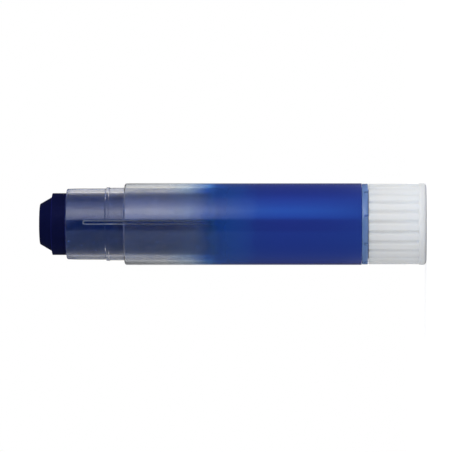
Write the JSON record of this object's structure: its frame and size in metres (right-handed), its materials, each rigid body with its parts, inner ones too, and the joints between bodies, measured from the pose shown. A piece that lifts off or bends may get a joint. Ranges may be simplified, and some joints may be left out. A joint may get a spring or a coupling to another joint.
{
  "type": "twist-up pigment stick",
  "caption": "Stick of blue pigment in a clear twist-up tube: turning the fluted end knob drives a screw that slides the stick out through the neck.",
  "frame": {"origin": "centre of the knob's flat end, which the stick stands on", "axes": "+Z along the tube from the knob to the tip; -Y is the side with the guide rib"},
  "size_m": [0.016, 0.016, 0.0758],
  "materials": {
    "clear_plastic": "clear moulded plastic, glossy, with fine rub marks",
    "printed_sleeve": "clear plastic sleeve, printed in a fade from clear at the neck to solid blue at the knob",
    "frosted_knob": "natural milky moulded plastic, satin",
    "white_plastic": "white moulded plastic, satin",
    "blue_pigment": "cast wax-like pigment, waxy sheen, dark blue"
  },
  "bodies": {
    "tube": {"guide_tube": "clear_plastic", "barrel_sleeve": "printed_sleeve"},
    "knob": {"turn_knob": "frosted_knob", "drive_spindle": "white_plastic"},
    "stick": {"carrier": "white_plastic", "pigment_stick": "blue_pigment"}
  },
  "joints": [
    {"name": "knob_twist", "type": "hinge", "parent": "tube", "child": "knob", "pos_m": [0, 0, 0], "axis": [0, 0, 1], "range_deg": [0, 3600]},
    {"name": "stick_slide", "type": "slide", "parent": "tube", "child": "stick", "axis": [0, 0, 1], "range_m": [0, 0.05]}
  ],
  "couplings": [
    {"joint": "knob_twist", "follows": "stick_slide", "rad_per_m": 1256.6}
  ]
}
